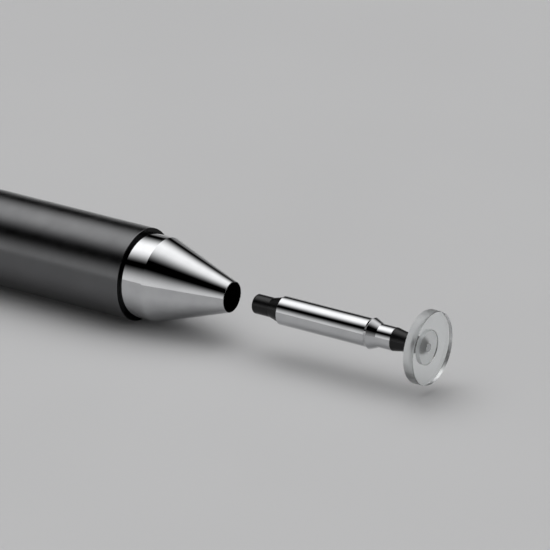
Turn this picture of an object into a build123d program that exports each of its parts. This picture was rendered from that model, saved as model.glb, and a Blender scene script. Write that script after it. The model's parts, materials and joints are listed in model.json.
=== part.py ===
from build123d import *
import math
import os

# A disc-tip stylus pen, lying level, with its replaceable tip cartridge pulled out ahead of the nose.
# X runs along the pen's axis towards the tip, Z is up, and the origin is the centre of the nose's mouth.
# All sizes are in millimetres and all angles in degrees.

# Clearances, each on a radius or between two faces
fit_clearance = 0.02
running_clearance = 0.025
seat_gap = 0.02
swing_clearance = 0.05

# Barrel
barrel_diameter = 9.0
barrel_wall = 0.4
barrel_step = 0.5
barrel_length = 117.32
barrel_edge = 0.08

# Nose cone
nose_band_length = 2.38
nose_cone_length = 7.6
mouth_diameter = 3.0
mouth_edge = 0.05
tip_bore_diameter = 2.8
socket_bore_diameter = 5.0

# Tip cartridge, from its rear end to its front
pull_out = 2.72
plug_rod_diameter = 1.88
plug_rod_length = 1.82
plug_edge = 0.2
plug_flare_diameter = 2.5
plug_flare_length = 1.12
sleeve_diameter = 2.75
sleeve_length = 9.66
sleeve_chamfer = 0.1
sleeve_bore_diameter = 1.9
ridge_diameter = 3.0
ridge_rise_length = 0.26
ridge_fall_length = 0.88
neck_diameter = 2.24
neck_length = 1.54
neck_bore_diameter = 1.5
housing_length = 2.14
housing_spigot_length = 2.0
housing_lip = 0.16
housing_edge = 0.08

# Ball joint of the disc
ball_diameter = 0.9
ball_depth = 0.42
post_diameter = 0.45
seat_wall = 0.08
seat_lip = 0.18
seat_back = 0.3
disc_tilt = 22.0

# Disc
disc_diameter = 7.0
disc_thickness = 1.05
disc_edge = 0.06
boss_diameter = 3.28
boss_length = 0.45
boss_rear_wall = 0.2
post_head_diameter = 0.8
post_head_thickness = 0.25

# Contact plunger and preload spring
plunger_pin_diameter = 0.24
plunger_shank_diameter = 0.76
plunger_flange_thickness = 0.4
plunger_travel = 0.15
spring_wire = 0.2
spring_length = 5.0
spring_turns = 7
spring_side_gap = 0.1

# Tip socket and grip ring inside the nose
socket_entry_length = 0.35
socket_floor = 1.5

# Rear end
bush_length = 8.0
bush_wall = 1.56
spigot_length = 6.0
cap_length = 5.5
cap_edge = 2.0
clip_thickness = 0.5
clip_gap = 2.2
clip_width = 3.4
clip_tip_width = 2.6
clip_bend = 1.0
clip_shoulder = 1.2
clip_length = 36.0
clip_flat = 3.0
clip_tip_length = 6.0
clip_contact_gap = 0.05
clip_lift = 1.1
clip_seam = 0.03
clip_tip_roundness = 0.48
floor_gap = 0.03

# Radii
barrel_radius = barrel_diameter / 2
counterbore_radius = barrel_radius - barrel_wall
barrel_bore_radius = counterbore_radius - barrel_step
nose_radius = counterbore_radius - fit_clearance
mouth_radius = mouth_diameter / 2
tip_bore_radius = tip_bore_diameter / 2
socket_bore_radius = socket_bore_diameter / 2
sleeve_radius = sleeve_diameter / 2
sleeve_bore_radius = sleeve_bore_diameter / 2
ridge_radius = ridge_diameter / 2
neck_radius = neck_diameter / 2
neck_bore_radius = neck_bore_diameter / 2
plug_rod_radius = plug_rod_diameter / 2
plug_flare_radius = plug_flare_diameter / 2
post_radius = post_diameter / 2
post_head_radius = post_head_diameter / 2
disc_radius = disc_diameter / 2
boss_radius = boss_diameter / 2
plunger_pin_radius = plunger_pin_diameter / 2
plunger_shank_radius = plunger_shank_diameter / 2
bush_radius = counterbore_radius - fit_clearance
bush_bore_radius = bush_radius - bush_wall
spigot_radius = bush_bore_radius - fit_clearance

# Nested spheres of the ball joint: ball, floating seat, pocket in the housing
ball_radius = ball_diameter / 2
seat_inner_radius = ball_radius + running_clearance
seat_outer_radius = seat_inner_radius + seat_wall
pocket_radius = seat_outer_radius + running_clearance

# The disc tilts by disc_tilt about each of two crossed axes, so its post swings further at the corners
disc_swing = math.acos(math.cos(math.radians(disc_tilt)) ** 2)
post_sweep = ball_depth * math.tan(disc_swing) + post_radius / math.cos(disc_swing)
opening_radius = post_sweep + swing_clearance
housing_front_radius = opening_radius + housing_lip
housing_front_reach = ball_depth * math.cos(disc_swing) + housing_front_radius * math.sin(disc_swing)

# Stations along the tip cartridge
plug_rear = pull_out
flare_start = plug_rear + plug_rod_length
sleeve_rear = flare_start + plug_flare_length
ridge_start = sleeve_rear + sleeve_length
ridge_top = ridge_start + ridge_rise_length
neck_start = ridge_top + ridge_fall_length
neck_front = neck_start + neck_length
spigot_rear = neck_front - housing_spigot_length
housing_front = neck_front + housing_length
ball_x = housing_front - ball_depth
boss_rear = ball_x + housing_front_reach + swing_clearance
disc_back = boss_rear + boss_length
disc_front = disc_back + disc_thickness
post_head_rear = boss_rear + boss_rear_wall
post_head_front = post_head_rear + post_head_thickness
plunger_tip = ball_x - ball_radius - seat_gap
plunger_shoulder = ball_x - seat_outer_radius - swing_clearance
flange_front = spigot_rear - plunger_travel
spring_front = flange_front - plunger_flange_thickness
spring_rear = spring_front - spring_length

# Pushed home, the cartridge stops where the ridge's rise meets the edge of the mouth
rise_at_mouth = (tip_bore_radius - sleeve_radius) / (ridge_radius - sleeve_radius)
seat_travel = ridge_start + ridge_rise_length * rise_at_mouth - seat_gap
home_sleeve_rear = sleeve_rear - seat_travel
home_flare_start = flare_start - seat_travel
home_plug_rear = plug_rear - seat_travel

# Stations along the pen
grip_ring_section = socket_bore_radius - tip_bore_radius - 2 * fit_clearance
socket_front = home_sleeve_rear + socket_entry_length
grip_ring_x = socket_front + fit_clearance + grip_ring_section / 2
tip_bore_end = grip_ring_x + grip_ring_section / 2 + fit_clearance
socket_rear = home_plug_rear - socket_floor
nose_rear = socket_rear
cone_start = -nose_cone_length
barrel_front = cone_start - nose_band_length
barrel_rear = barrel_front - barrel_length
nose_step = nose_rear - fit_clearance
bush_front = barrel_rear + bush_length
bush_step = bush_front + fit_clearance
clip_rear = barrel_rear - clip_thickness
cap_rear = clip_rear - cap_length

# The clip points away to one side and down, so that its shoulder just clears the surface the pen lies on
clip_outer = barrel_radius + clip_gap + clip_thickness
clip_inner = clip_outer - clip_thickness
clip_reach = math.hypot(clip_outer, clip_width / 2)
clip_droop = math.asin((barrel_radius - floor_gap) / clip_reach) - math.atan2(clip_width / 2, clip_outer)
clip_plane = Plane(origin=(0, 0, 0), x_dir=(1, 0, 0), z_dir=(0, math.sin(clip_droop), math.cos(clip_droop)))
clip_side = Plane(origin=(0, 0, 0), x_dir=(1, 0, 0), z_dir=clip_plane.y_dir)
clip_root = barrel_rear + clip_shoulder
blade_rear = clip_root + clip_seam
blade_front = blade_rear + clip_length
blade_contact = blade_front - clip_tip_length
contact_inner = barrel_radius + clip_contact_gap


def turn(*points, mode=Mode.ADD):
    """Revolve a closed half section, given as (x, radius) points, about the pen's axis."""
    with BuildSketch(Plane.XY) as section:
        with BuildLine():
            Polyline(*points, close=True)
        make_face()
    revolve(section.sketch, axis=Axis.X, mode=mode)


def rim(piece, x, radius):
    """The round edges of a turned piece that lie at one place along the axis and have one radius."""
    near = 0.001
    rounds = piece.edges().filter_by(GeomType.CIRCLE)
    return rounds.filter_by(lambda e: abs(e.arc_center.X - x) < near and abs(e.radius - radius) < near)


with BuildPart() as barrel:
    turn(
        (barrel_rear, counterbore_radius),
        (barrel_rear, barrel_radius),
        (barrel_front, barrel_radius),
        (barrel_front, counterbore_radius),
        (nose_step, counterbore_radius),
        (nose_step, barrel_bore_radius),
        (bush_step, barrel_bore_radius),
        (bush_step, counterbore_radius),
    )
    fillet(rim(barrel, barrel_front, barrel_radius) + rim(barrel, barrel_rear, barrel_radius), barrel_edge)

with BuildPart() as nose_cone:
    turn(
        (nose_rear, socket_bore_radius),
        (nose_rear, nose_radius),
        (cone_start, nose_radius),
        (0, mouth_radius),
        (0, tip_bore_radius),
        (tip_bore_end, tip_bore_radius),
        (tip_bore_end, socket_bore_radius),
    )
    fillet(rim(nose_cone, 0, mouth_radius), mouth_edge)

with BuildPart() as grip_o_ring:
    with BuildSketch(Plane.XY) as ring_section:
        with Locations((grip_ring_x, (tip_bore_radius + socket_bore_radius) / 2)):
            Circle(grip_ring_section / 2)
    revolve(axis=Axis.X)

with BuildPart() as tip_socket:
    turn(
        (socket_rear, 0),
        (socket_rear, socket_bore_radius - fit_clearance),
        (socket_front, socket_bore_radius - fit_clearance),
        (socket_front, tip_bore_radius),
        (home_sleeve_rear - running_clearance, tip_bore_radius),
        (home_sleeve_rear - running_clearance, plug_flare_radius + running_clearance),
        (home_flare_start - running_clearance, plug_rod_radius + running_clearance),
        (home_plug_rear - running_clearance, plug_rod_radius + running_clearance),
        (home_plug_rear - running_clearance, 0),
    )

with BuildPart() as grip_plug:
    turn(
        (plug_rear, 0),
        (plug_rear, plug_rod_radius),
        (flare_start, plug_rod_radius),
        (sleeve_rear, plug_flare_radius),
        (sleeve_rear, sleeve_bore_radius - fit_clearance),
        (spring_rear, sleeve_bore_radius - fit_clearance),
        (spring_rear, 0),
    )
    fillet(rim(grip_plug, plug_rear, plug_rod_radius), plug_edge)

with BuildPart() as stem_sleeve:
    turn(
        (sleeve_rear, sleeve_bore_radius),
        (sleeve_rear, sleeve_radius),
        (ridge_start, sleeve_radius),
        (ridge_top, ridge_radius),
        (neck_start, neck_radius),
        (neck_front, neck_radius),
        (neck_front, neck_bore_radius),
        (spigot_rear, neck_bore_radius),
        (spigot_rear, sleeve_bore_radius),
    )
    chamfer(rim(stem_sleeve, sleeve_rear, sleeve_radius), sleeve_chamfer)

with BuildPart() as ball_housing:
    turn(
        (spigot_rear, plunger_shank_radius + running_clearance),
        (spigot_rear, neck_bore_radius - fit_clearance),
        (neck_front, neck_bore_radius - fit_clearance),
        (neck_front, neck_radius),
        (housing_front, housing_front_radius),
        (housing_front, opening_radius),
        (ball_x, post_radius),
        (ball_x, plunger_shank_radius + running_clearance),
    )
    with BuildSketch(Plane.XY) as pocket_section:
        with Locations((ball_x, 0)):
            Circle(pocket_radius)
        with Locations((ball_x, pocket_radius)):
            Rectangle(2 * pocket_radius, 2 * pocket_radius, mode=Mode.INTERSECT)
    revolve(axis=Axis.X, mode=Mode.SUBTRACT)
    fillet(rim(ball_housing, housing_front, housing_front_radius), housing_edge)

with BuildPart() as ball_seat:
    with BuildSketch(Plane.XY) as seat_section:
        with Locations((ball_x, 0)):
            Circle(seat_outer_radius)
            Circle(seat_inner_radius, mode=Mode.SUBTRACT)
        with Locations((ball_x + (seat_lip - seat_back) / 2, seat_outer_radius)):
            Rectangle(seat_lip + seat_back, 2 * seat_outer_radius, mode=Mode.INTERSECT)
    revolve(axis=Axis.X)

with BuildPart() as pivot_ball:
    with BuildSketch(Plane.XY) as pivot_section:
        with Locations((ball_x, 0)):
            Circle(ball_radius)
        with BuildLine():
            Polyline(
                (ball_x, 0),
                (ball_x, post_radius),
                (post_head_rear, post_radius),
                (post_head_rear, post_head_radius),
                (post_head_front, post_head_radius),
                (post_head_front, 0),
                close=True,
            )
        make_face()
        with Locations((ball_x, disc_radius)):
            Rectangle(2 * (post_head_front - ball_x), disc_diameter, mode=Mode.INTERSECT)
    revolve(axis=Axis.X)

with BuildPart() as disc:
    turn(
        (boss_rear, post_radius + running_clearance),
        (boss_rear, boss_radius),
        (disc_back, boss_radius),
        (disc_back, disc_radius),
        (disc_front, disc_radius),
        (disc_front, 0),
        (post_head_front + running_clearance, 0),
        (post_head_front + running_clearance, post_head_radius + running_clearance),
        (post_head_rear - running_clearance, post_head_radius + running_clearance),
        (post_head_rear - running_clearance, post_radius + running_clearance),
    )
    fillet(rim(disc, disc_back, disc_radius) + rim(disc, disc_front, disc_radius), disc_edge)

with BuildPart() as contact_plunger:
    turn(
        (spring_front, 0),
        (spring_front, sleeve_bore_radius - running_clearance),
        (flange_front, sleeve_bore_radius - running_clearance),
        (flange_front, plunger_shank_radius),
        (plunger_shoulder, plunger_shank_radius),
        (plunger_shoulder, plunger_pin_radius),
        (plunger_tip, plunger_pin_radius),
        (plunger_tip, 0),
    )

# The spring's centre line is a helix made of biarcs, two tangent arcs to each quarter turn
coil_radius = sleeve_bore_radius - spring_side_gap - spring_wire / 2
coil_rear = spring_rear + spring_wire / 2 + fit_clearance
coil_front = spring_front - spring_wire / 2 - fit_clearance
coil_pitch = (coil_front - coil_rear) / spring_turns
quarters = 4 * spring_turns


def coil_point(quarter):
    """A point of the spring's centre line, counted in quarter turns from its rear end."""
    angle = math.pi / 2 * quarter
    advance = coil_pitch * quarter / 4
    return Vector(coil_rear + advance, coil_radius * math.cos(angle), coil_radius * math.sin(angle))


def coil_tangent(quarter):
    """The direction of the spring's centre line at the same count."""
    angle = math.pi / 2 * quarter
    turn_length = 2 * math.pi * coil_radius
    return Vector(coil_pitch, -turn_length * math.sin(angle), turn_length * math.cos(angle)).normalized()


with BuildPart() as preload_spring:
    with BuildLine() as coil:
        for quarter in range(quarters):
            start, end = coil_point(quarter), coil_point(quarter + 1)
            leave, arrive = coil_tangent(quarter), coil_tangent(quarter + 1)
            chord = end - start
            spread = 2 * (1 - leave.dot(arrive))
            along = chord.dot(leave + arrive)
            handle = (math.sqrt(along**2 + spread * chord.dot(chord)) - along) / spread
            knee_start = start + leave * handle
            knee_end = end - arrive * handle
            middle = (knee_start + knee_end) / 2
            TangentArc(start, middle, tangent=leave)
            TangentArc(middle, end, tangent=knee_end - knee_start)
    with BuildSketch(Plane(origin=coil_point(0), z_dir=coil_tangent(0))) as wire_section:
        Circle(spring_wire / 2)
    coil_path = coil.wires()[0]
    sweep(path=coil_path)

spots_per_turn = 32
spots = [coil_path @ (i / (spots_per_turn * spring_turns)) for i in range(spots_per_turn * spring_turns + 1)]
half_turn = spots_per_turn // 2
least_gap = min(
    (far - near).length - spring_wire
    for i, near in enumerate(spots)
    for far in spots[i + half_turn :]
)
print(f"preload_spring: least gap between turns {least_gap:.3f} mm")

with BuildPart() as rear_bush:
    turn(
        (barrel_rear, bush_bore_radius),
        (barrel_rear, bush_radius),
        (bush_front, bush_radius),
        (bush_front, bush_bore_radius),
    )

with BuildPart() as clip_ring:
    with BuildSketch(clip_plane) as arm_section:
        with BuildLine():
            Polyline(
                (clip_rear, bush_bore_radius),
                (clip_rear, clip_outer),
                (clip_root, clip_outer),
                (clip_root, clip_inner),
                (barrel_rear, clip_inner),
                (barrel_rear, bush_bore_radius),
                close=True,
            )
        make_face()
        outer_bend = arm_section.vertices().group_by(Axis.X)[0].sort_by(Axis.Y)[-1]
        fillet(outer_bend, clip_bend)
    extrude(amount=clip_width / 2, both=True)
    turn(
        (clip_rear, bush_bore_radius),
        (clip_rear, barrel_radius),
        (barrel_rear, barrel_radius),
        (barrel_rear, bush_bore_radius),
    )
    turn(
        (clip_rear, 0),
        (clip_rear, bush_bore_radius),
        (barrel_rear, bush_bore_radius),
        (barrel_rear, 0),
        mode=Mode.SUBTRACT,
    )

with BuildPart() as clip_blade:
    with BuildSketch(clip_plane) as blade_section:
        with BuildLine():
            Polyline(
                (blade_rear, clip_inner),
                (blade_rear + clip_flat, clip_inner),
                (blade_contact, contact_inner),
                (blade_front, contact_inner + clip_lift),
                (blade_front, contact_inner + clip_lift + clip_thickness),
                (blade_contact, contact_inner + clip_thickness),
                (blade_rear + clip_flat, clip_outer),
                (blade_rear, clip_outer),
                close=True,
            )
        make_face()
    extrude(amount=clip_width / 2, both=True)
    with BuildSketch(clip_side) as blade_plan:
        with BuildLine():
            Polyline(
                (blade_rear, -clip_width / 2),
                (blade_front, -clip_tip_width / 2),
                (blade_front, clip_tip_width / 2),
                (blade_rear, clip_width / 2),
                close=True,
            )
        make_face()
        fillet(blade_plan.vertices().group_by(Axis.X)[-1], clip_tip_roundness * clip_tip_width)
    extrude(amount=clip_outer + clip_thickness, mode=Mode.INTERSECT)

with BuildPart() as end_cap:
    turn(
        (cap_rear, 0),
        (cap_rear, barrel_radius),
        (clip_rear, barrel_radius),
        (clip_rear, spigot_radius),
        (clip_rear + spigot_length, spigot_radius),
        (clip_rear + spigot_length, 0),
    )
    fillet(rim(end_cap, cap_rear, barrel_radius), cap_edge)
    fillet(rim(end_cap, clip_rear, barrel_radius), barrel_edge)

pieces = {
    "barrel": barrel,
    "nose_cone": nose_cone,
    "grip_o_ring": grip_o_ring,
    "tip_socket": tip_socket,
    "grip_plug": grip_plug,
    "stem_sleeve": stem_sleeve,
    "ball_housing": ball_housing,
    "ball_seat": ball_seat,
    "pivot_ball": pivot_ball,
    "disc": disc,
    "contact_plunger": contact_plunger,
    "preload_spring": preload_spring,
    "rear_bush": rear_bush,
    "clip_ring": clip_ring,
    "clip_blade": clip_blade,
    "end_cap": end_cap,
}
os.makedirs("parts", exist_ok=True)
for name, piece in pieces.items():
    piece.part.label = name
    export_step(piece.part, f"parts/{name}.step")
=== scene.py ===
import bpy
import json
import math
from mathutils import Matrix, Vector


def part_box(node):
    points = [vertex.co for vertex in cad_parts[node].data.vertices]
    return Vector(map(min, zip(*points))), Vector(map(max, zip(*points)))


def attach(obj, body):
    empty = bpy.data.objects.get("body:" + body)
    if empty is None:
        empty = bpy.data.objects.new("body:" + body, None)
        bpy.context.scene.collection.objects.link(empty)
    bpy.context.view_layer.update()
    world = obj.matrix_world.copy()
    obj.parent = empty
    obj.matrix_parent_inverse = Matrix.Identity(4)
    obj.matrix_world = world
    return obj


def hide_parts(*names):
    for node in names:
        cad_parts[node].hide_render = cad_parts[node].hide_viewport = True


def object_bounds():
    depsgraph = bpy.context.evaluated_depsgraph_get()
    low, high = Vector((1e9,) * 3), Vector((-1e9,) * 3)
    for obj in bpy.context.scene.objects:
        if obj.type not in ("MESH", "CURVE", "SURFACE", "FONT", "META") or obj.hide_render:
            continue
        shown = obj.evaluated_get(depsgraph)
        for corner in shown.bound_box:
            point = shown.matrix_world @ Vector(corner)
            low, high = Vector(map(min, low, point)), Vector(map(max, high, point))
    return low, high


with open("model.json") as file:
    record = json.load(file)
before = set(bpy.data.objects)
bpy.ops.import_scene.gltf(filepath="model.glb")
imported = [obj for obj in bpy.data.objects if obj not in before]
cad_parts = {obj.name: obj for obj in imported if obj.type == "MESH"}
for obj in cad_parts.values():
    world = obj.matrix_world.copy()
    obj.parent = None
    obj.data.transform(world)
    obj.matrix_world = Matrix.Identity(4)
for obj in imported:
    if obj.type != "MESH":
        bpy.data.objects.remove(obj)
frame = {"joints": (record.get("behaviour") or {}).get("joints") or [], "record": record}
cad_low, cad_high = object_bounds()

# A disc-tip stylus pen, lying level, with its tip cartridge pulled out ahead of the nose.
# X runs along the pen's axis towards the tip. Sizes are in millimetres until a mesh is made.
MM = 0.001


def reach(node):
    """Rear end, front end and largest radius of a turned CAD node, in millimetres."""
    low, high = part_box(node)
    return low.x / MM, high.x / MM, max(high.y, high.z) / MM


# Sizes that the CAD nodes' boxes do not give
fit_clearance = 0.02
running_clearance = 0.025
barrel_wall = 0.4
barrel_step = 0.5
barrel_edge = 0.08
nose_cone_length = 7.6
mouth_radius = 1.5
socket_bore_radius = 2.5
plug_rod_radius = 0.94
plug_rod_length = 1.82
plug_edge = 0.2
sleeve_radius = 1.375
sleeve_bore_radius = 0.95
sleeve_chamfer = 0.1
ridge_rise_length = 0.26
ridge_fall_length = 0.88
neck_length = 1.54
neck_bore_radius = 0.75
housing_front_radius = 0.72
housing_opening_radius = 0.56
housing_edge = 0.08
pocket_radius = 0.58
pocket_lip_radius = 0.48
seat_inner_radius = 0.475
post_radius = 0.225
post_head_radius = 0.4
post_head_thickness = 0.25
disc_thickness = 1.05
disc_edge = 0.06
boss_radius = 1.64
plunger_shank_radius = 0.38
plunger_pin_radius = 0.12
plunger_flange_thickness = 0.4
plunger_pin_length = 0.17
spring_wire = 0.2
spring_turns = 7
spigot_radius = 2.5
cap_edge = 2.0
clip_thickness = 0.5
clip_shoulder = 1.2
clip_gap = 2.2
clip_width = 3.4
clip_tip_width = 2.6
clip_flat = 3.0
clip_tip_length = 6.0
clip_lift = 1.1
clip_contact_gap = 0.05
clip_bend = 0.75
clip_crook = 6.0
clip_edge = 0.12

# Small edge breaks, and how finely round shapes are divided
sharp_edge = 0.02
fine_edge = 0.04
segments = 192
arc_steps = 24
round_steps = 5
coil_steps = 48
wire_steps = 16
tip_steps = 16
edge_support = 0.5
longest_support = 1.0
merge_reach = 0.001
crease = math.radians(35)

# Stations along the pen, from the frame
barrel_rear, barrel_front, barrel_radius = reach("barrel")
nose_rear, mouth, nose_radius = reach("nose_cone")
ring_rear, ring_front, ring_radius = reach("grip_o_ring")
socket_rear, socket_front, socket_radius = reach("tip_socket")
plug_rear, plug_front, plug_flare_radius = reach("grip_plug")
sleeve_rear, neck_front, ridge_radius = reach("stem_sleeve")
spigot_rear, housing_front, neck_radius = reach("ball_housing")
seat_rear, seat_front, seat_radius = reach("ball_seat")
ball_rear, post_head_front, ball_radius = reach("pivot_ball")
boss_rear, disc_front, disc_radius = reach("disc")
plunger_rear, plunger_front, plunger_flange_radius = reach("contact_plunger")
spring_rear, spring_front, spring_radius = reach("preload_spring")
bush_rear, bush_front, bush_radius = reach("rear_bush")
cap_rear, cap_front, cap_radius = reach("end_cap")
clip_rear = reach("clip_ring")[0]
blade_rear, blade_front = reach("clip_blade")[:2]
mounts = {mount["name"]: mount for mount in frame["record"]["mounts"]}
joints = {joint["name"]: joint for joint in frame["joints"]}
bore_radius, bore_length = mounts["tip_bore"]["dims"]["r_mm"], mounts["tip_bore"]["dims"]["length_mm"]
tip_travel = joints["tip_pull"]["range_m"][0] / MM
clip_across = Vector(joints["clip_flex"]["axis"])
cone_start = mouth - nose_cone_length
neck_start = neck_front - neck_length
ridge_top = neck_start - ridge_fall_length
ridge_start = ridge_top - ridge_rise_length
ball_x = ball_rear + ball_radius
disc_back = disc_front - disc_thickness


def plug(tree, socket, value):
    """Give a socket a plain value, or link another node's output to it."""
    if isinstance(value, bpy.types.NodeSocket):
        tree.links.new(value, socket)
    else:
        socket.default_value = value


def add(tree, kind, settings=None, **inputs):
    """A new node with its settings, and its inputs by name (an underscore stands for a space)."""
    node = tree.nodes.new(kind)
    for name, value in (settings or {}).items():
        setattr(node, name, value)
    for name, value in inputs.items():
        plug(tree, node.inputs[name.replace("_", " ")], value)
    return node


def calc(tree, operation, *values):
    """The result of a Math node."""
    node = add(tree, "ShaderNodeMath", {"operation": operation})
    for socket, value in zip(node.inputs, values):
        plug(tree, socket, value)
    return node.outputs[0]


# Finishes


def new_finish(name, **inputs):
    """A new material: its tree, its shader with plain values set, and the place on it in millimetres."""
    material = bpy.data.materials.new(name)
    material.use_nodes = True
    tree = material.node_tree
    shader = tree.nodes["Principled BSDF"]
    for socket, value in inputs.items():
        shader.inputs[socket.replace("_", " ")].default_value = value
    spot = add(tree, "ShaderNodeTexCoord").outputs["Object"]
    place = add(tree, "ShaderNodeMapping", Vector=spot, Scale=(1 / MM, 1 / MM, 1 / MM)).outputs[0]
    return material, tree, shader.inputs, place


def noise(tree, place, per_mm, detail=2.0):
    """Soft noise from 0 to 1 with so many lumps to the millimetre."""
    return add(tree, "ShaderNodeTexNoise", Vector=place, Scale=per_mm, Detail=detail).outputs[0]


def spread(tree, value, low, high):
    """The middle of a noise's range stretched over low to high."""
    node = add(tree, "ShaderNodeMapRange", Value=value, From_Min=0.3, From_Max=0.7, To_Min=low, To_Max=high)
    return node.outputs[0]


def fade(tree, value, start, end, before, after):
    """A smooth change from one level to another between two places."""
    node = add(tree, "ShaderNodeMapRange", {"interpolation_type": "SMOOTHSTEP"}, Value=value)
    for name, level in (("From Min", start), ("From Max", end), ("To Min", before), ("To Max", after)):
        node.inputs[name].default_value = level
    return node.outputs[0]


# Colour sockets of a Mix node: the two colours that go in and the mixed one that comes out
mix_first, mix_second, mix_result = 6, 7, 2


def over(tree, amount, below, colour):
    """A colour laid over another one, which may come from another node."""
    node = add(tree, "ShaderNodeMix", {"data_type": "RGBA"}, Factor=amount)
    plug(tree, node.inputs[mix_first], below)
    node.inputs[mix_second].default_value = (*colour, 1)
    return node.outputs[mix_result]


def blend(tree, amount, dark, light):
    """A colour between two plain ones."""
    return over(tree, amount, (*dark, 1), light)


def relief(tree, height, depth_mm):
    """Bump with a real depth."""
    return add(tree, "ShaderNodeBump", Height=height, Distance=depth_mm * MM).outputs[0]


def from_axis(tree, place):
    """The place along the pen and the distance from its axis."""
    along, aside, above = add(tree, "ShaderNodeSeparateXYZ", Vector=place).outputs
    squares = calc(tree, "ADD", calc(tree, "MULTIPLY", aside, aside), calc(tree, "MULTIPLY", above, above))
    return along, calc(tree, "SQRT", squares)


def turning_lines(tree, along, per_mm):
    """Fine lathe lines, which change along the pen only."""
    node = add(tree, "ShaderNodeTexNoise", {"noise_dimensions": "1D"}, W=along, Scale=per_mm, Detail=3.0)
    return node.outputs[0]


# Painted highlight along the barrel's front edge: how ragged it is, and where it fades out
edge_highlight_fray = 0.06
edge_highlight_reach = (barrel_edge * 1.1, barrel_edge * 1.5)


def satin_anodised():
    """Fine blasted, anodised aluminium, with a painted highlight along its front edge and its front face
    darkened with painted shade.
    """
    material, tree, shader, place = new_finish("satin_anodised_black", Metallic=1.0)
    along, radius = from_axis(tree, place)
    cloud = spread(tree, noise(tree, place, per_mm=0.35), low=0, high=1)
    tone = blend(tree, cloud, dark=(0.126, 0.127, 0.130), light=(0.140, 0.141, 0.144))
    off_edge = calc(
        tree,
        "ADD",
        calc(tree, "ABSOLUTE", calc(tree, "SUBTRACT", along, barrel_front)),
        calc(tree, "ABSOLUTE", calc(tree, "SUBTRACT", radius, barrel_radius)),
    )
    fray = calc(tree, "MULTIPLY", noise(tree, place, per_mm=4.0), edge_highlight_fray)
    # A lighter fringe painted along the front edge: a painted highlight where the rounded edge catches the
    # light.
    edge_highlight = fade(tree, calc(tree, "ADD", off_edge, fray), *edge_highlight_reach, before=0.5, after=0.0)
    tone = over(tree, edge_highlight, tone, colour=(0.22, 0.22, 0.23))
    # The front end face is painted near-black: painted shade on the step where the barrel meets the nose.
    face_start, face_full = barrel_front - barrel_edge / 2, barrel_front - barrel_edge / 8
    end_face_shade = fade(tree, along, face_start, face_full, before=0.0, after=1.0)
    tone = over(tree, end_face_shade, tone, colour=(0.003, 0.003, 0.003))
    shine = spread(tree, noise(tree, place, per_mm=0.8, detail=4.0), low=0.19, high=0.25)
    plug(tree, shader["Base Color"], tone)
    plug(tree, shader["Roughness"], shine)
    plug(tree, shader["Normal"], relief(tree, noise(tree, place, per_mm=12.0), depth_mm=0.00025))
    return material


def bright_chrome(name, painted_shade_bore=0.0):
    """Polished chrome with faint turning lines and handling haze. Inside the given bore radius it is painted
    near-black and matt: painted shade in the bore.
    """
    line_share = 0.3
    bore_roughness = 0.6
    material, tree, shader, place = new_finish(name, Metallic=1.0)
    along, radius = from_axis(tree, place)
    haze = noise(tree, place, per_mm=0.6, detail=4.0)
    lines = turning_lines(tree, along, per_mm=30.0)
    cloud = spread(tree, haze, low=0, high=1)
    tone = blend(tree, cloud, dark=(0.55, 0.555, 0.565), light=(0.61, 0.615, 0.625))
    hazed = calc(tree, "MULTIPLY", haze, 1 - line_share)
    lined = calc(tree, "MULTIPLY", lines, line_share)
    shine = spread(tree, calc(tree, "ADD", hazed, lined), low=0.02, high=0.055)
    if painted_shade_bore:
        # The bore is painted near-black and matt: painted shade inside the mouth.
        bore_shade = calc(tree, "LESS_THAN", radius, painted_shade_bore)
        tone = over(tree, bore_shade, tone, colour=(0.006, 0.006, 0.006))
        shine = calc(tree, "MAXIMUM", shine, calc(tree, "MULTIPLY", bore_shade, bore_roughness))
    plug(tree, shader["Base Color"], tone)
    plug(tree, shader["Roughness"], shine)
    plug(tree, shader["Normal"], relief(tree, lines, depth_mm=0.00002))
    return material


def black_moulded():
    """Black moulding with a fine spark-eroded grain."""
    material, tree, shader, place = new_finish("black_moulded", Specular_IOR_Level=0.3)
    cloud = spread(tree, noise(tree, place, per_mm=1.2), low=0, high=1)
    tone = blend(tree, cloud, dark=(0.003, 0.003, 0.0032), light=(0.006, 0.006, 0.0063))
    shine = spread(tree, noise(tree, place, per_mm=3.0, detail=4.0), low=0.18, high=0.25)
    plug(tree, shader["Base Color"], tone)
    plug(tree, shader["Roughness"], shine)
    plug(tree, shader["Normal"], relief(tree, noise(tree, place, per_mm=16.0), depth_mm=0.0012))
    return material


def black_rubber():
    """Dull black rubber with a soft bloom."""
    material, tree, shader, place = new_finish("black_rubber", Specular_IOR_Level=0.35)
    bloom = spread(tree, noise(tree, place, per_mm=2.0, detail=4.0), low=0, high=1)
    tone = blend(tree, bloom, dark=(0.012, 0.012, 0.012), light=(0.024, 0.024, 0.024))
    plug(tree, shader["Base Color"], tone)
    plug(tree, shader["Roughness"], spread(tree, noise(tree, place, per_mm=5.0), low=0.62, high=0.78))
    plug(tree, shader["Normal"], relief(tree, noise(tree, place, per_mm=14.0), depth_mm=0.003))
    return material


def white_nylon():
    """Natural white nylon."""
    material, tree, shader, place = new_finish("white_nylon", Specular_IOR_Level=0.45)
    cloud = spread(tree, noise(tree, place, per_mm=3.0), low=0, high=1)
    tone = blend(tree, cloud, dark=(0.76, 0.75, 0.70), light=(0.82, 0.81, 0.77))
    plug(tree, shader["Base Color"], tone)
    plug(tree, shader["Roughness"], spread(tree, noise(tree, place, per_mm=6.0), low=0.38, high=0.5))
    plug(tree, shader["Normal"], relief(tree, noise(tree, place, per_mm=20.0), depth_mm=0.001))
    return material


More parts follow.
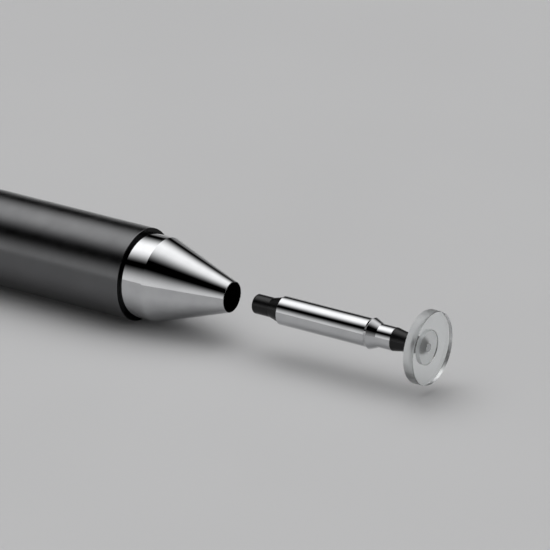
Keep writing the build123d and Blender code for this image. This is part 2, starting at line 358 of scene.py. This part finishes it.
def turned_metal(name, dark, light, smooth, rough, lines_per_mm, line_depth):
    """Metal with the lines that the lathe or the die left."""
    material, tree, shader, place = new_finish(name, Metallic=1.0)
    along = from_axis(tree, place)[0]
    lines = turning_lines(tree, along, lines_per_mm)
    cloud = spread(tree, noise(tree, place, per_mm=1.5), low=0, high=1)
    plug(tree, shader["Base Color"], blend(tree, cloud, dark, light))
    plug(tree, shader["Roughness"], spread(tree, lines, smooth, rough))
    plug(tree, shader["Normal"], relief(tree, lines, line_depth))
    return material


# Roughness of the disc's frosted rim and boss side, and of the boss's ground rear
side_frost = 0.3
rear_frost = 0.5


def clear_moulded():
    """Faintly smoky clear plastic: polished faces, a frosted rim and boss side, and a ground boss rear."""
    material, tree, shader, place = new_finish(
        "clear_moulded", Base_Color=(0.90, 0.92, 0.92, 1), IOR=1.49, Transmission_Weight=1.0
    )
    along, radius = from_axis(tree, place)
    rim = calc(tree, "GREATER_THAN", radius, disc_radius - disc_edge / 2)
    off_side = calc(tree, "ABSOLUTE", calc(tree, "SUBTRACT", radius, boss_radius))
    behind = calc(tree, "LESS_THAN", along, disc_back)
    side = calc(tree, "MULTIPLY", calc(tree, "LESS_THAN", off_side, fine_edge / 2), behind)
    rear = calc(tree, "LESS_THAN", along, boss_rear + fine_edge / 2)
    frosted_sides = calc(tree, "MULTIPLY", calc(tree, "MAXIMUM", rim, side), side_frost)
    frosted = calc(tree, "MAXIMUM", frosted_sides, calc(tree, "MULTIPLY", rear, rear_frost))
    polish = spread(tree, noise(tree, place, per_mm=1.5, detail=4.0), low=0.005, high=0.02)
    plug(tree, shader["Roughness"], calc(tree, "ADD", polish, frosted))
    plug(tree, shader["Normal"], relief(tree, noise(tree, place, per_mm=0.8), depth_mm=0.0004))
    return material


def pale_floor():
    """Pale paper-like floor."""
    material, tree, shader, place = new_finish("pale_floor", Specular_IOR_Level=0.3)
    cloud = spread(tree, noise(tree, place, per_mm=0.02), low=0, high=1)
    tone = blend(tree, cloud, dark=(0.57, 0.57, 0.575), light=(0.59, 0.59, 0.595))
    plug(tree, shader["Base Color"], tone)
    plug(tree, shader["Roughness"], spread(tree, noise(tree, place, per_mm=0.1), low=0.55, high=0.6))
    return material


satin_black = satin_anodised()
chrome = bright_chrome("bright_chrome")
nose_chrome = bright_chrome("nose_chrome", painted_shade_bore=mouth_radius - sharp_edge)
moulding = black_moulded()
rubber = black_rubber()
nylon = white_nylon()
clear = clear_moulded()
steel = turned_metal(
    "polished_steel",
    dark=(0.50, 0.50, 0.51),
    light=(0.56, 0.56, 0.57),
    smooth=0.12,
    rough=0.2,
    lines_per_mm=40.0,
    line_depth=0.00005,
)
wire = turned_metal(
    "drawn_wire",
    dark=(0.46, 0.46, 0.48),
    light=(0.55, 0.55, 0.57),
    smooth=0.18,
    rough=0.3,
    lines_per_mm=25.0,
    line_depth=0.0002,
)
brass = turned_metal(
    "turned_brass",
    dark=(0.70, 0.50, 0.22),
    light=(0.80, 0.61, 0.30),
    smooth=0.15,
    rough=0.28,
    lines_per_mm=18.0,
    line_depth=0.0005,
)


# Outlines


def rounded(corners, closed):
    """A line through corners. A corner with a third number is rounded to that radius."""
    points = []
    for i, corner in enumerate(corners):
        here = Vector(corner[:2])
        edge = corner[2] if len(corner) > 2 else 0
        if not edge:
            points.append(here)
            continue
        back = (Vector(corners[i - 1][:2]) - here).normalized()
        ahead = (Vector(corners[(i + 1) % len(corners)][:2]) - here).normalized()
        half = back.angle(ahead) / 2
        run = edge / math.tan(half)
        centre = here + (back + ahead).normalized() * edge / math.sin(half)
        start, end = here + back * run, here + ahead * run
        support = min(edge * edge_support, longest_support)
        points.append(start + back * support)
        for step in range(round_steps + 1):
            spoke = (start - centre).lerp(end - centre, step / round_steps)
            points.append(centre + spoke.normalized() * edge)
        points.append(end + ahead * support)
    if closed:
        points.append(points[0].copy())
    return points


def arc(x, radius, start, end, height=0.0):
    """Points of a circle, from one angle to another. Zero is towards the tip and 90 away from the axis."""
    turns = [math.radians(start + (end - start) * i / arc_steps) for i in range(arc_steps + 1)]
    return [(x + radius * math.cos(a), height + radius * math.sin(a)) for a in turns]


# Geometry Nodes


def new_tree(name, inputs, output):
    """A Geometry Nodes tree with named inputs. Returns it with its inputs' sockets."""
    tree = bpy.data.node_groups.new(name, "GeometryNodeTree")
    for label, kind in inputs.items():
        tree.interface.new_socket(label, in_out="INPUT", socket_type="NodeSocket" + kind)
    tree.interface.new_socket(output, in_out="OUTPUT", socket_type="NodeSocketGeometry")
    return tree, tree.nodes.new("NodeGroupInput").outputs


def close_tree(tree, shape, material):
    """End a tree: smooth faces, real geometry and the finish."""
    smooth = add(tree, "GeometryNodeSetShadeSmooth", Geometry=shape)
    real = add(tree, "GeometryNodeRealizeInstances", Geometry=smooth.outputs[0])
    dressed = add(tree, "GeometryNodeSetMaterial", Geometry=real.outputs[0], Material=material)
    tree.links.new(dressed.outputs[0], tree.nodes.new("NodeGroupOutput").inputs[0])


def turned_tree():
    """Turns a half section, a line of (x, radius) points, about the pen's axis."""
    inputs = {"Half section": "Geometry", "Segments": "Int", "Finish": "Material"}
    tree, given = new_tree("turned_piece", inputs, "Turned piece")
    line = given["Half section"]
    stations = add(tree, "GeometryNodeAttributeDomainSize", Geometry=line).outputs["Point Count"]
    around = calc(tree, "ADD", given["Segments"], 1)
    grid = add(tree, "GeometryNodeMeshGrid", Vertices_X=stations, Vertices_Y=around)
    index = add(tree, "GeometryNodeInputIndex").outputs[0]
    station = calc(tree, "FLOOR", calc(tree, "DIVIDE", index, around))
    step = calc(tree, "DIVIDE", math.tau, given["Segments"])
    angle = calc(tree, "MULTIPLY", calc(tree, "MODULO", index, around), step)
    spot = add(tree, "GeometryNodeSampleIndex", {"data_type": "FLOAT_VECTOR"}, Geometry=line, Index=station)
    plug(tree, spot.inputs["Value"], add(tree, "GeometryNodeInputPosition").outputs[0])
    along, radius = add(tree, "ShaderNodeSeparateXYZ", Vector=spot.outputs[0]).outputs[:2]
    place = add(
        tree,
        "ShaderNodeCombineXYZ",
        X=along,
        Y=calc(tree, "MULTIPLY", radius, calc(tree, "SINE", angle)),
        Z=calc(tree, "MULTIPLY", radius, calc(tree, "COSINE", angle)),
    ).outputs[0]
    shape = add(tree, "GeometryNodeSetPosition", Geometry=grid.outputs["Mesh"], Position=place)
    joined = add(tree, "GeometryNodeMergeByDistance", Geometry=shape.outputs[0], Distance=merge_reach * MM)
    close_tree(tree, joined.outputs[0], given["Finish"])
    return tree


def wound_tree():
    """Winds a round wire along the pen's axis."""
    inputs = {
        "Blank": "Geometry",
        "Turns": "Float",
        "Coil radius": "Float",
        "Wire radius": "Float",
        "Rear": "Float",
        "Length": "Float",
        "Finish": "Material",
    }
    tree, given = new_tree("wound_wire", inputs, "Wound wire")
    coil = add(
        tree,
        "GeometryNodeCurveSpiral",
        Resolution=coil_steps,
        Rotations=given["Turns"],
        Start_Radius=given["Coil radius"],
        End_Radius=given["Coil radius"],
        Height=given["Length"],
    )
    start = add(tree, "ShaderNodeCombineXYZ", X=given["Rear"]).outputs[0]
    laid = add(
        tree,
        "GeometryNodeTransform",
        Geometry=coil.outputs[0],
        Translation=start,
        Rotation=(0, math.pi / 2, 0),
    )
    section = add(
        tree,
        "GeometryNodeCurvePrimitiveCircle",
        Resolution=wire_steps,
        Radius=given["Wire radius"],
    )
    tube = add(
        tree,
        "GeometryNodeCurveToMesh",
        Curve=laid.outputs[0],
        Profile_Curve=section.outputs[0],
        Fill_Caps=True,
    )
    close_tree(tree, tube.outputs[0], given["Finish"])
    return tree


def grown(name, mesh, tree, sizes):
    """An object whose mesh a Geometry Nodes tree has made from a starting mesh and sizes."""
    piece = bpy.data.objects.new(name, mesh)
    bpy.context.scene.collection.objects.link(piece)
    modifier = piece.modifiers.new("shape", "NODES")
    modifier.node_group = tree
    sockets = {item.name: item.identifier for item in tree.interface.items_tree if item.in_out == "INPUT"}
    for label, value in sizes.items():
        modifier[sockets[label]] = value
    ready = piece.evaluated_get(bpy.context.evaluated_depsgraph_get())
    piece.data = bpy.data.meshes.new_from_object(ready)
    piece.modifiers.clear()
    piece.data.name = name
    piece.data.set_sharp_from_angle(angle=crease)
    return piece


def stands_for(piece, node, body):
    """Let a finished piece take a CAD node's place."""
    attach(piece, body)
    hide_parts(node)


turning = turned_tree()


def lathe(name, material, *corners):
    """A turned mesh from the corners of its half section, from the rear along the outside to the front."""
    closed = max(corners[0][1], corners[-1][1]) > merge_reach
    points = [(p.x * MM, p.y * MM, 0) for p in rounded(corners, closed)]
    line = bpy.data.meshes.new(name)
    line.from_pydata(points, [(i, i + 1) for i in range(len(points) - 1)], [])
    return grown(name, line, turning, {"Segments": segments, "Finish": material})


def turned(name, node, body, slot, material, *corners):
    """A turned piece that stands for a CAD node."""
    stands_for(lathe(name, material, *corners), node, body)


# Pen

counterbore_radius = barrel_radius - barrel_wall
barrel_bore_radius = counterbore_radius - barrel_step
turned(
    "barrel_tube", "barrel", "pen", "satin_black", satin_black,
    (barrel_rear, counterbore_radius),
    (barrel_rear, barrel_radius, barrel_edge),
    (barrel_front, barrel_radius, barrel_edge),
    (barrel_front, counterbore_radius, sharp_edge),
    (nose_rear - fit_clearance, counterbore_radius),
    (nose_rear - fit_clearance, barrel_bore_radius),
    (bush_front + fit_clearance, barrel_bore_radius),
    (bush_front + fit_clearance, counterbore_radius),
)
turned(
    "nose_turning", "nose_cone", "pen", "bright_chrome", nose_chrome,
    (nose_rear, socket_bore_radius),
    (nose_rear, nose_radius, fine_edge),
    (cone_start, nose_radius, fine_edge),
    (mouth, mouth_radius, fine_edge),
    (mouth, bore_radius, sharp_edge),
    (mouth - bore_length, bore_radius),
    (mouth - bore_length, socket_bore_radius),
)
# The ring's round section runs between these angles, and closing it makes the last step of the circle
ring_first, ring_last = 180, -165
ring_section = (ring_front - ring_rear) / 2
turned(
    "grip_ring", "grip_o_ring", "pen", "black_rubber", rubber,
    *arc((ring_front + ring_rear) / 2, ring_section, ring_first, ring_last, ring_radius - ring_section),
)
home_rear, home_sleeve_rear = plug_rear + tip_travel, sleeve_rear + tip_travel
turned(
    "socket_moulding", "tip_socket", "pen", "black_plastic", moulding,
    (socket_rear, 0),
    (socket_rear, socket_radius, fine_edge),
    (socket_front, socket_radius, fine_edge),
    (socket_front, bore_radius, fine_edge),
    (home_sleeve_rear - running_clearance, bore_radius),
    (home_sleeve_rear - running_clearance, plug_flare_radius + running_clearance),
    (home_rear + plug_rod_length - running_clearance, plug_rod_radius + running_clearance),
    (home_rear - running_clearance, plug_rod_radius + running_clearance),
    (home_rear - running_clearance, 0),
)

# Tip cartridge

turned(
    "plug_moulding", "grip_plug", "cartridge", "black_plastic", moulding,
    (plug_rear, 0),
    (plug_rear, plug_rod_radius, plug_edge),
    (plug_rear + plug_rod_length, plug_rod_radius, fine_edge),
    (sleeve_rear, plug_flare_radius, fine_edge),
    (sleeve_rear, sleeve_bore_radius - fit_clearance),
    (plug_front, sleeve_bore_radius - fit_clearance, fine_edge),
    (plug_front, 0),
)
turned(
    "sleeve_turning", "stem_sleeve", "cartridge", "bright_chrome", chrome,
    (sleeve_rear, sleeve_bore_radius),
    (sleeve_rear, sleeve_radius - sleeve_chamfer, sharp_edge),
    (sleeve_rear + sleeve_chamfer, sleeve_radius, sharp_edge),
    (ridge_start, sleeve_radius, fine_edge),
    (ridge_top, ridge_radius, fine_edge),
    (neck_start, neck_radius, fine_edge),
    (neck_front, neck_radius, sharp_edge),
    (neck_front, neck_bore_radius),
    (spigot_rear, neck_bore_radius),
    (spigot_rear, sleeve_bore_radius),
)
shank_hole_radius = plunger_shank_radius + running_clearance
pocket_front = math.degrees(math.asin(pocket_lip_radius / pocket_radius))
pocket_rear = 180 - math.degrees(math.asin(shank_hole_radius / pocket_radius))
turned(
    "housing_moulding", "ball_housing", "cartridge", "black_plastic", moulding,
    (spigot_rear, shank_hole_radius),
    (spigot_rear, neck_bore_radius - fit_clearance),
    (neck_front, neck_bore_radius - fit_clearance),
    (neck_front, neck_radius, sharp_edge),
    (housing_front, housing_front_radius, housing_edge),
    (housing_front, housing_opening_radius, sharp_edge),
    *arc(ball_x, pocket_radius, pocket_front, pocket_rear),
)
turned(
    "plunger_turning", "contact_plunger", "cartridge", "turned_brass", brass,
    (plunger_rear, 0),
    (plunger_rear, plunger_flange_radius, fine_edge),
    (plunger_rear + plunger_flange_thickness, plunger_flange_radius, fine_edge),
    (plunger_rear + plunger_flange_thickness, plunger_shank_radius),
    (plunger_front - plunger_pin_length, plunger_shank_radius, fine_edge),
    (plunger_front - plunger_pin_length, plunger_pin_radius),
    (plunger_front, plunger_pin_radius, sharp_edge),
    (plunger_front, 0),
)
wire_radius = spring_wire / 2
spring = grown(
    "wound_spring",
    bpy.data.meshes.new("wound_spring"),
    wound_tree(),
    {
        "Turns": float(spring_turns),
        "Coil radius": (spring_radius - wire_radius) * MM,
        "Wire radius": wire_radius * MM,
        "Rear": (spring_rear + wire_radius) * MM,
        "Length": (spring_front - spring_rear - spring_wire) * MM,
        "Finish": wire,
    },
)
stands_for(spring, "preload_spring", "cartridge")

# Ball joint and disc

seat_front_angle = math.degrees(math.acos((seat_front - ball_x) / seat_radius))
seat_rear_angle = math.degrees(math.acos((seat_rear - ball_x) / seat_radius))
inner_front_angle = math.degrees(math.acos((seat_front - ball_x) / seat_inner_radius))
inner_rear_angle = math.degrees(math.acos((seat_rear - ball_x) / seat_inner_radius))
turned(
    "seat_ring", "ball_seat", "seat", "white_nylon", nylon,
    *arc(ball_x, seat_radius, seat_rear_angle, seat_front_angle),
    *arc(ball_x, seat_inner_radius, inner_front_angle, inner_rear_angle),
)
post_angle = math.degrees(math.asin(post_radius / ball_radius))
post_head_rear = post_head_front - post_head_thickness
turned(
    "pivot_pin", "pivot_ball", "pivot", "polished_steel", steel,
    *arc(ball_x, ball_radius, 180, post_angle),
    (post_head_rear, post_radius),
    (post_head_rear, post_head_radius, fine_edge),
    (post_head_front, post_head_radius, fine_edge),
    (post_head_front, 0),
)
turned(
    "clear_disc", "disc", "disc", "clear_plastic", clear,
    (boss_rear, 0),
    (boss_rear, boss_radius, fine_edge),
    (disc_back, boss_radius, fine_edge),
    (disc_back, disc_radius, disc_edge),
    (disc_front, disc_radius, disc_edge),
    (disc_front, 0),
)

# Rear end

turned(
    "bush_turning", "rear_bush", "pen", "turned_brass", brass,
    (bush_rear, spigot_radius + fit_clearance, fine_edge),
    (bush_rear, bush_radius, fine_edge),
    (bush_front, bush_radius, fine_edge),
    (bush_front, spigot_radius + fit_clearance, fine_edge),
)
turned(
    "cap_turning", "end_cap", "pen", "bright_chrome", chrome,
    (cap_rear, 0),
    (cap_rear, cap_radius, cap_edge),
    (clip_rear, cap_radius, barrel_edge),
    (clip_rear, spigot_radius),
    (cap_front, spigot_radius, fine_edge),
    (cap_front, 0),
)

# Clip, a bent strip whose radial direction leans away to one side

clip_out = clip_across.cross(Vector((1, 0, 0)))
clip_middle = barrel_radius + clip_gap + clip_thickness / 2


def strip(path, half_widths):
    """Vertices and faces of a bent strip along (x, distance) points, with rounded edges."""
    half = clip_thickness / 2
    corners = [(-1, -half, clip_edge), (1, -half, clip_edge), (1, half, clip_edge), (-1, half, clip_edge)]
    verts, faces = [], []
    for i, (here, wide) in enumerate(zip(path, half_widths)):
        run = (path[min(i + 1, len(path) - 1)] - path[max(i - 1, 0)]).normalized()
        away = Vector((-run.y, run.x))
        section = rounded([(side * wide, out, edge) for side, out, edge in corners], closed=False)
        for across, out in section:
            spot = here + away * out
            verts.append((Vector((spot.x, 0, 0)) + clip_out * spot.y + clip_across * across) * MM)
    count = len(verts) // len(path)
    for i in range(len(path) - 1):
        for k in range(count):
            a, b = i * count + k, i * count + (k + 1) % count
            faces.append((a + count, b + count, b, a))
    faces.append(tuple(range(count)))
    faces.append(tuple(reversed(range(len(verts) - count, len(verts)))))
    return verts, faces


def clip_piece(name, node, body, path, half_widths, ring=None):
    """A piece of the clip that stands for a CAD node, with a ring that it is one piece with."""
    mesh = bpy.data.meshes.new(name)
    verts, faces = strip(path, half_widths)
    mesh.from_pydata(verts, [], faces)
    mesh.shade_smooth()
    mesh.set_sharp_from_angle(angle=crease)
    mesh.materials.append(chrome)
    piece = bpy.data.objects.new(name, mesh)
    bpy.context.scene.collection.objects.link(piece)
    if ring:
        union = piece.modifiers.new("ring", "BOOLEAN")
        union.operation = "UNION"
        union.solver = "EXACT"
        union.object = ring
        ready = piece.evaluated_get(bpy.context.evaluated_depsgraph_get())
        piece.data = bpy.data.meshes.new_from_object(ready)
        piece.modifiers.clear()
        bpy.data.objects.remove(ring)
        piece.data.name = name
        piece.data.set_sharp_from_angle(angle=crease)
    stands_for(piece, node, body)


contact = blade_front - clip_tip_length
contact_middle = barrel_radius + clip_contact_gap + clip_thickness / 2
blade_path = rounded(
    [
        (blade_rear, clip_middle),
        (blade_rear + clip_flat, clip_middle, clip_crook),
        (contact, contact_middle, clip_crook),
        (blade_front, contact_middle + clip_lift),
    ],
    closed=False,
)
tip_round = clip_tip_width / 2
tip_centre = blade_path[-1] - (blade_path[-1] - blade_path[-2]).normalized() * tip_round
tip_run = blade_path[-1] - tip_centre
tip_turns = [math.pi / 2 * i / tip_steps for i in range(tip_steps)]
blade_path = blade_path[:-1] + [tip_centre + tip_run * math.sin(turn) for turn in tip_turns]


def blade_half_width(spot):
    """The blade tapers towards its tip, which is round."""
    share = (spot.x - blade_rear) / (blade_front - blade_rear)
    wide = (clip_width + (clip_tip_width - clip_width) * share) / 2
    past = (spot - tip_centre).dot(tip_run.normalized()) / tip_round
    return wide * math.sqrt(1 - past**2) if past > 0 else wide


clip_piece("clip_strip", "clip_blade", "clip", blade_path, [blade_half_width(p) for p in blade_path])
clip_root = barrel_rear + clip_shoulder
arm_path = rounded(
    [
        (clip_rear + clip_thickness / 2, spigot_radius + clip_thickness),
        (clip_rear + clip_thickness / 2, clip_middle, clip_bend),
        (clip_root, clip_middle),
    ],
    closed=False,
)
clip_washer = lathe(
    "clip_washer", chrome,
    (clip_rear, spigot_radius + fit_clearance, fine_edge),
    (clip_rear, barrel_radius, barrel_edge),
    (barrel_rear, barrel_radius, barrel_edge),
    (barrel_rear, spigot_radius + fit_clearance, fine_edge),
)
clip_piece("clip_collar", "clip_ring", "pen", arm_path, [clip_width / 2] * len(arm_path), clip_washer)

# Floor, studio light and camera

floor_reach = 20.0
floor_mesh = bpy.data.meshes.new("floor")
floor_signs = ((-1, -1), (1, -1), (1, 1), (-1, 1))
floor_corners = [(x * floor_reach, y * floor_reach, cad_low.z) for x, y in floor_signs]
floor_mesh.from_pydata(floor_corners, [], [(0, 1, 2, 3)])
floor_mesh.materials.append(pale_floor())
floor = bpy.data.objects.new("floor", floor_mesh)
bpy.context.scene.collection.objects.link(floor)

# Soft boxes by their angle about the pen: 0 is the horizon behind it, 90 overhead, 180 the horizon in front.
# Along the pen, -1 is straight back and 1 straight ahead. The pen's straight sides mirror side_heading.
side_heading = -0.5
overhead_level = 1.72
overhead_rise = (29, 74)
overhead_fall = (85, 127)
overhead_skew = 16
overhead_shade = (-0.2, 0.35)
overhead_shade_level = 0.22
front_level = 0.88
front_rise = (137, 178)
front_shade = (0.12, 0.42)
back_level = 0.27
back_fall = (9, 21)
beyond_shade = (0.58, 0.68)
beyond_level = 0.6
rear_shade = (-0.72, -0.58)
rear_shade_level = 0.12
fill_level = 1.2
fill_spread = math.radians(100)


def shaded(tree, ahead, light, shade, level):
    """A soft box that a screen beside the tip dims, but not straight ahead of it."""
    near = fade(tree, ahead, *shade, before=1.0, after=level)
    beyond = fade(tree, ahead, *beyond_shade, before=level, after=beyond_level)
    return calc(tree, "MULTIPLY", light, calc(tree, "MAXIMUM", near, beyond))


def studio():
    """A soft box above the pen and one in front of it, with dark gaps between them and a dim back wall."""
    world = bpy.data.worlds.new("studio")
    world.use_nodes = True
    tree = world.node_tree
    heading = add(tree, "ShaderNodeTexCoord").outputs["Generated"]
    ahead, away, upward = add(tree, "ShaderNodeSeparateXYZ", Vector=heading).outputs
    around = calc(tree, "DEGREES", calc(tree, "ARCTAN2", upward, away))
    skew = calc(tree, "MULTIPLY", calc(tree, "SUBTRACT", ahead, side_heading), overhead_skew)
    skewed = calc(tree, "ADD", around, skew)
    rise = fade(tree, skewed, *overhead_rise, before=0.0, after=overhead_level)
    fall = fade(tree, skewed, *overhead_fall, before=1.0, after=0.0)
    overhead = shaded(tree, ahead, calc(tree, "MULTIPLY", rise, fall), overhead_shade, overhead_shade_level)
    behind = fade(tree, ahead, *rear_shade, before=rear_shade_level, after=1.0)
    overhead = calc(tree, "MULTIPLY", overhead, behind)
    front = fade(tree, around, *front_rise, before=0.0, after=front_level)
    front = shaded(tree, ahead, front, front_shade, level=0.0)
    back = fade(tree, around, *back_fall, before=back_level, after=0.0)
    light = calc(tree, "MAXIMUM", calc(tree, "MAXIMUM", overhead, front), back)
    plug(tree, tree.nodes["Background"].inputs["Color"], light)
    return world


bpy.context.scene.world = studio()
fill = bpy.data.objects.new("fill", bpy.data.lights.new("fill", "SUN"))
fill.data.energy = fill_level
fill.data.angle = fill_spread
fill.visible_glossy = False
fill.visible_transmission = False
bpy.context.scene.collection.objects.link(fill)

camera_azimuth = math.radians(33.3)
camera_elevation = math.radians(22.7)
camera_lens = 320.0
camera_sensor = 36.0
picture_size = 550
mouth_pixel = (232.12, 297.10)
mouth_distance = 456.6

level_reach = math.cos(camera_elevation)
towards = Vector(
    (
        math.sin(camera_azimuth) * level_reach,
        -math.cos(camera_azimuth) * level_reach,
        math.sin(camera_elevation),
    )
)
right = Vector((0, 0, 1)).cross(towards).normalized()
up = towards.cross(right)
mm_per_pixel = mouth_distance * camera_sensor / camera_lens / picture_size
aside = (mouth_pixel[0] - picture_size / 2) * mm_per_pixel
above = (picture_size / 2 - mouth_pixel[1]) * mm_per_pixel
camera = bpy.data.objects.new("camera", bpy.data.cameras.new("camera"))
bpy.context.scene.collection.objects.link(camera)
camera.data.lens = camera_lens
camera.data.sensor_width = camera_sensor
camera.data.clip_start = 0.01
camera.data.clip_end = 100.0
camera.location = (Vector((mouth, 0, 0)) + towards * mouth_distance - right * aside - up * above) * MM
camera.rotation_euler = (-towards).to_track_quat("-Z", "Y").to_euler()
bpy.context.scene.camera = camera
bpy.context.scene.view_settings.view_transform = "Standard"
